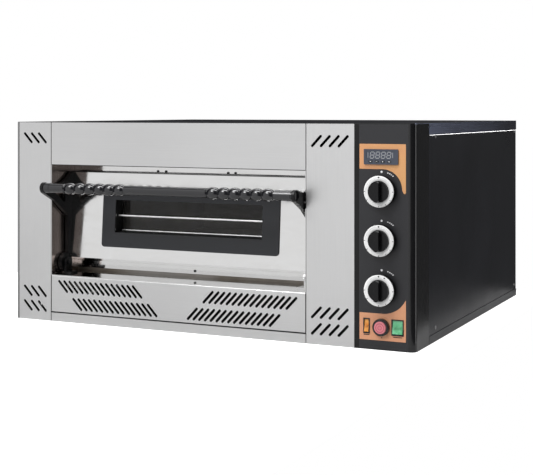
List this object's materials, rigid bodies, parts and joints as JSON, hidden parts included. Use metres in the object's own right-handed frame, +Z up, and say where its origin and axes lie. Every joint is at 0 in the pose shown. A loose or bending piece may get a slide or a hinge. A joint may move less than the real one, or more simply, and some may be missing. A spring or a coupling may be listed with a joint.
{
  "type": "deck oven",
  "caption": "Single-deck gas pizza oven: drop-down glazed door with a beaded bar handle, stone baking chamber, right-hand control column with knobs, display and switches.",
  "frame": {"origin": "on the plane the oven stands on, under the middle of its overall width and depth", "axes": "+Z up, the door faces -Y, +X is to the right of a user who faces the door"},
  "size_m": [1, 0.969, 0.472],
  "materials": {
    "stainless": "brushed",
    "polished_steel": "polished",
    "black_paint": "satin",
    "charcoal_plate": "matt",
    "plain_steel": "plain sheet",
    "chamber_steel": "aluminised, heat-stained",
    "fireclay": "matt",
    "fibre": "matt",
    "handle_black": "satin",
    "cast_black": "satin",
    "pane": "clear",
    "seal": "matt",
    "brass": "plain",
    "knob_plastic": "satin",
    "switch_plastic": "gloss",
    "display_plastic": "gloss",
    "amber": "translucent",
    "green": "translucent",
    "red": "satin",
    "screw_steel": "plain"
  },
  "bodies": {
    "oven": {"base_pan": "plain_steel", "corner_trim_left": "black_paint", "side_panel_left": "black_paint", "side_panel_right": "black_paint", "back_panel": "plain_steel", "top_cover": "black_paint", "front_stile_left": "stainless", "front_stile_right": "stainless", "lintel_panel": "stainless", "lower_vent_panel": "stainless", "recess_surround": "polished_steel", "mouth_plate": "polished_steel", "casing_screws": "screw_steel", "chamber_liner": "chamber_steel", "stone_frame": "plain_steel", "deck_stone_left": "fireclay", "deck_stone_right": "fireclay", "ceiling_plate": "chamber_steel", "floor_burner": "chamber_steel", "roof_burner": "chamber_steel", "insulation_top_back": "fibre", "insulation_sides": "fibre", "bay_wall": "plain_steel", "thermocouple": "chamber_steel", "flue_spigot": "plain_steel", "control_housing": "black_paint", "control_face": "charcoal_plate", "display_module": "display_plastic", "gas_tap_1": "brass", "gas_tap_2": "brass", "thermostat": "brass", "gas_manifold": "plain_steel", "rocker_frames": "switch_plastic", "push_button_ring": "switch_plastic", "gas_inlet": "brass", "cable_gland": "switch_plastic", "hinge_brackets": "plain_steel"},
    "door": {"door_front": "polished_steel", "door_back": "plain_steel", "door_insulation": "fibre", "window_bezel": "charcoal_plate", "window_glass": "pane", "window_rods": "plain_steel", "door_gasket": "seal", "handle_bar": "handle_black", "handle_arm_left": "cast_black", "handle_arm_right": "cast_black"},
    "tap_spindle_1": {"tap_stem_1": "brass"},
    "tap_knob_1": {"knob_1": "knob_plastic"},
    "tap_spindle_2": {"tap_stem_2": "brass"},
    "tap_knob_2": {"knob_2": "knob_plastic"},
    "thermostat_knob": {"knob_3": "knob_plastic"},
    "amber_rocker_cap": {"amber_rocker": "amber"},
    "green_rocker_cap": {"green_rocker": "green"},
    "button_cap": {"push_button": "red"},
    "key_1": {"display_key_1": "switch_plastic"},
    "key_2": {"display_key_2": "switch_plastic"},
    "key_3": {"display_key_3": "switch_plastic"},
    "key_4": {"display_key_4": "switch_plastic"}
  },
  "joints": [
    {"name": "door_hinge", "type": "hinge", "parent": "oven", "child": "door", "pos_m": [-0.0735, -0.3845, 0.135], "axis": [1, 0, 0], "range_deg": [0, 90]},
    {"name": "tap_push_1", "type": "slide", "parent": "oven", "child": "tap_spindle_1", "axis": [0, 1, 0], "range_m": [0, 0.003], "stiffness_N_per_m": 1200, "springref_m": -0.003},
    {"name": "tap_turn_1", "type": "hinge", "parent": "tap_spindle_1", "child": "tap_knob_1", "pos_m": [0.427, -0.4485, 0.331], "axis": [0, -1, 0], "range_deg": [0, 240]},
    {"name": "tap_push_2", "type": "slide", "parent": "oven", "child": "tap_spindle_2", "axis": [0, 1, 0], "range_m": [0, 0.003], "stiffness_N_per_m": 1200, "springref_m": -0.003},
    {"name": "tap_turn_2", "type": "hinge", "parent": "tap_spindle_2", "child": "tap_knob_2", "pos_m": [0.427, -0.4485, 0.229], "axis": [0, -1, 0], "range_deg": [0, 240]},
    {"name": "thermostat_turn", "type": "hinge", "parent": "oven", "child": "thermostat_knob", "pos_m": [0.427, -0.4485, 0.126], "axis": [0, -1, 0], "range_deg": [-270, 0]},
    {"name": "amber_rocker_tilt", "type": "hinge", "parent": "oven", "child": "amber_rocker_cap", "pos_m": [0.3939, -0.4275, 0.049], "axis": [1, 0, 0], "range_deg": [0, 18]},
    {"name": "green_rocker_tilt", "type": "hinge", "parent": "oven", "child": "green_rocker_cap", "pos_m": [0.46205, -0.4275, 0.049], "axis": [1, 0, 0], "range_deg": [0, 18]},
    {"name": "button_press", "type": "slide", "parent": "oven", "child": "button_cap", "axis": [0, 1, 0], "range_m": [0, 0.004], "stiffness_N_per_m": 500, "springref_m": -0.003},
    {"name": "key_press_1", "type": "slide", "parent": "oven", "child": "key_1", "axis": [0, 1, 0], "range_m": [0, 0.0008], "stiffness_N_per_m": 600, "springref_m": -0.001},
    {"name": "key_press_2", "type": "slide", "parent": "oven", "child": "key_2", "axis": [0, 1, 0], "range_m": [0, 0.0008], "stiffness_N_per_m": 600, "springref_m": -0.001},
    {"name": "key_press_3", "type": "slide", "parent": "oven", "child": "key_3", "axis": [0, 1, 0], "range_m": [0, 0.0008], "stiffness_N_per_m": 600, "springref_m": -0.001},
    {"name": "key_press_4", "type": "slide", "parent": "oven", "child": "key_4", "axis": [0, 1, 0], "range_m": [0, 0.0008], "stiffness_N_per_m": 600, "springref_m": -0.001}
  ]
}
